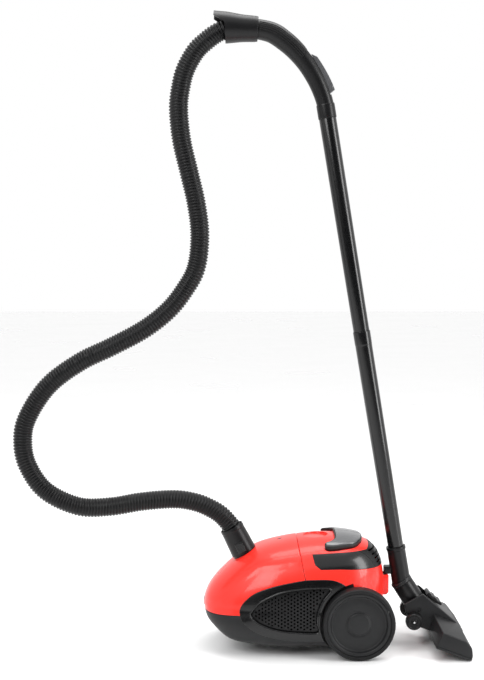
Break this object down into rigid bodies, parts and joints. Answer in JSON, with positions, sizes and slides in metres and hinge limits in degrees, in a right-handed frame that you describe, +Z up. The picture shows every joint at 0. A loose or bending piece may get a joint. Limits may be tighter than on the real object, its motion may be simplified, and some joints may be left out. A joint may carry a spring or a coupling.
{
  "type": "canister vacuum cleaner",
  "caption": "Canister vacuum cleaner with a rounded hinged shell on two large wheels and a castor, a flexible hose, a bent handle, a rigid wand and a floor head parked upright behind it.",
  "frame": {"origin": "bottom centre of the object without its hose, on the floor", "axes": "+Z up, +X from the nose towards the parked floor head, +Y across, so the power pedal is at -Y and the rewind pedal at +Y"},
  "size_m": [0.9501, 0.262, 1.3192],
  "materials": {
    "red_gloss_shell": "gloss",
    "dark_matte_plastic": "matte",
    "black_gloss_plastic": "gloss",
    "black_satin_plastic": "satin",
    "grey_pedal_plastic": "satin",
    "black_rubber": "matte",
    "bright_steel": "polished",
    "dust_bag_paper": "matte",
    "filter_foam": "matte",
    "inner_plastic": "satin",
    "circuit_board_green": "satin",
    "bristle_fibre": "matte"
  },
  "bodies": {
    "canister": {"lower_chassis": "dark_matte_plastic", "rear_housing": "red_gloss_shell", "left_trim_band": "black_gloss_plastic", "right_trim_band": "black_gloss_plastic", "exhaust_grille": "black_satin_plastic", "left_vent_frame": "black_gloss_plastic", "right_vent_frame": "black_gloss_plastic", "left_vent_grille": "black_satin_plastic", "right_vent_grille": "black_satin_plastic", "pedal_console": "dark_matte_plastic", "lid_hinge_pin": "bright_steel", "bulkhead": "inner_plastic", "motor_filter": "filter_foam", "bag_holder": "inner_plastic", "dust_bag": "dust_bag_paper", "motor_front_mount": "black_rubber", "fan_cover": "bright_steel", "motor_can": "inner_plastic", "reel_spring_case": "dark_matte_plastic", "circuit_board": "circuit_board_green", "power_switch": "black_satin_plastic", "exhaust_filter": "filter_foam", "hose": "black_satin_plastic"},
    "lid": {"front_lid": "red_gloss_shell", "inlet_collar": "black_satin_plastic", "lid_seal": "black_rubber", "bag_full_window": "black_gloss_plastic"},
    "latch": {"lid_latch": "black_gloss_plastic"},
    "power_pedal": {"power_pedal": "grey_pedal_plastic"},
    "rewind_pedal": {"rewind_pedal": "grey_pedal_plastic"},
    "left_wheel": {"left_wheel": "dark_matte_plastic", "left_tyre": "black_rubber", "left_hub_cap": "dark_matte_plastic"},
    "right_wheel": {"right_wheel": "dark_matte_plastic", "right_tyre": "black_rubber", "right_hub_cap": "dark_matte_plastic"},
    "castor_fork": {"castor_fork": "dark_matte_plastic", "castor_axle": "bright_steel"},
    "castor_wheel": {"castor_wheel": "black_rubber"},
    "hose_cuff": {"hose_cuff": "black_satin_plastic"},
    "left_tab": {"left_release_tab": "black_satin_plastic"},
    "right_tab": {"right_release_tab": "black_satin_plastic"},
    "wand": {"hose_sleeve": "black_satin_plastic", "bent_handle": "black_satin_plastic", "upper_tube": "black_gloss_plastic", "lower_tube": "black_gloss_plastic", "neck_socket": "black_satin_plastic", "swivel_ring": "dark_matte_plastic"},
    "bleed_slider": {"bleed_slider": "dark_matte_plastic"},
    "elbow": {"neck_elbow": "black_satin_plastic"},
    "floor_head": {"head_shell": "dark_matte_plastic", "head_sole": "dark_matte_plastic", "head_left_pin": "bright_steel", "head_right_pin": "bright_steel"},
    "head_pedal": {"head_pedal": "dark_matte_plastic"},
    "brush": {"brush_strip": "bristle_fibre"},
    "head_left_wheel": {"head_left_wheel": "black_satin_plastic"},
    "head_right_wheel": {"head_right_wheel": "black_satin_plastic"},
    "rotor": {"motor_rotor": "bright_steel"},
    "cord_reel": {"cord_reel": "inner_plastic"}
  },
  "joints": [
    {"name": "left_wheel_spin", "type": "hinge", "parent": "canister", "child": "left_wheel", "pos_m": [0.0442, -0.116, 0.074], "axis": [0, 1, 0], "continuous": true},
    {"name": "right_wheel_spin", "type": "hinge", "parent": "canister", "child": "right_wheel", "pos_m": [0.0442, 0.116, 0.074], "axis": [0, 1, 0], "continuous": true},
    {"name": "castor_swivel", "type": "hinge", "parent": "canister", "child": "castor_fork", "pos_m": [-0.165, 0, 0.032], "axis": [0, 0, 1], "continuous": true},
    {"name": "castor_spin", "type": "hinge", "parent": "castor_fork", "child": "castor_wheel", "pos_m": [-0.157, 0, 0.0125], "axis": [0, 1, 0], "continuous": true},
    {"name": "lid_hinge", "type": "hinge", "parent": "canister", "child": "lid", "pos_m": [-0.045, 0, 0.219], "axis": [0, 1, 0], "range_deg": [0, 55], "deforming": ["hose"]},
    {"name": "latch_press", "type": "slide", "parent": "lid", "child": "latch", "axis": [1, 0, 0], "range_m": [0, 0.003], "stiffness_N_per_m": 400, "springref_m": -0.001},
    {"name": "power_pedal_press", "type": "slide", "parent": "canister", "child": "power_pedal", "axis": [0, 0, -1], "range_m": [0, 0.0022], "stiffness_N_per_m": 600, "springref_m": -0.002},
    {"name": "rewind_pedal_press", "type": "slide", "parent": "canister", "child": "rewind_pedal", "axis": [0, 0, -1], "range_m": [0, 0.0022], "stiffness_N_per_m": 600, "springref_m": -0.002},
    {"name": "cuff_swivel", "type": "hinge", "parent": "lid", "child": "hose_cuff", "pos_m": [-0.188, 0, 0.191], "axis": [-0.4493, 0, 0.8934], "continuous": true},
    {"name": "left_tab_press", "type": "slide", "parent": "hose_cuff", "child": "left_tab", "axis": [0, 1, 0], "range_m": [0, 0.0025], "stiffness_N_per_m": 300, "springref_m": -0.001},
    {"name": "right_tab_press", "type": "slide", "parent": "hose_cuff", "child": "right_tab", "axis": [0, -1, 0], "range_m": [0, 0.0025], "stiffness_N_per_m": 300, "springref_m": -0.001},
    {"name": "wand_park_slide", "type": "slide", "parent": "canister", "child": "wand", "axis": [0, 0, 1], "range_m": [0, 0.05], "deforming": ["hose"]},
    {"name": "bleed_slide", "type": "hinge", "parent": "wand", "child": "bleed_slider", "pos_m": [-0.2994, 0, 1.0372], "axis": [0, -1, 0], "range_deg": [0, 2.4]},
    {"name": "neck_swivel", "type": "hinge", "parent": "wand", "child": "elbow", "pos_m": [0.14474, 0, 0.13024], "axis": [0.5446, 0, -0.8387], "range_deg": [-30, 30]},
    {"name": "head_tilt", "type": "hinge", "parent": "elbow", "child": "floor_head", "pos_m": [0.17851, 0, 0.07824], "axis": [0, 1, 0], "range_deg": [-20, 20]},
    {"name": "head_pedal_rock", "type": "hinge", "parent": "floor_head", "child": "head_pedal", "pos_m": [0.21171, 0, 0.09351], "axis": [0, 1, 0], "range_deg": [0, 10]},
    {"name": "brush_drop", "type": "slide", "parent": "floor_head", "child": "brush", "axis": [-0.342, 0, -0.9397], "range_m": [0, 0.004]},
    {"name": "head_left_wheel_spin", "type": "hinge", "parent": "floor_head", "child": "head_left_wheel", "pos_m": [0.16601, -0.047, 0.05683], "axis": [0, 1, 0], "continuous": true},
    {"name": "head_right_wheel_spin", "type": "hinge", "parent": "floor_head", "child": "head_right_wheel", "pos_m": [0.16601, 0.047, 0.05683], "axis": [0, 1, 0], "continuous": true},
    {"name": "rotor_spin", "type": "hinge", "parent": "canister", "child": "rotor", "pos_m": [0, -0.03, 0.09], "axis": [1, 0, 0], "continuous": true},
    {"name": "reel_spin", "type": "hinge", "parent": "canister", "child": "cord_reel", "pos_m": [0.012, 0.052, 0.11], "axis": [0, 1, 0], "continuous": true}
  ],
  "couplings": [
    {"joint": "brush_drop", "follows": "head_pedal_rock", "m_per_rad": 0.0229}
  ]
}
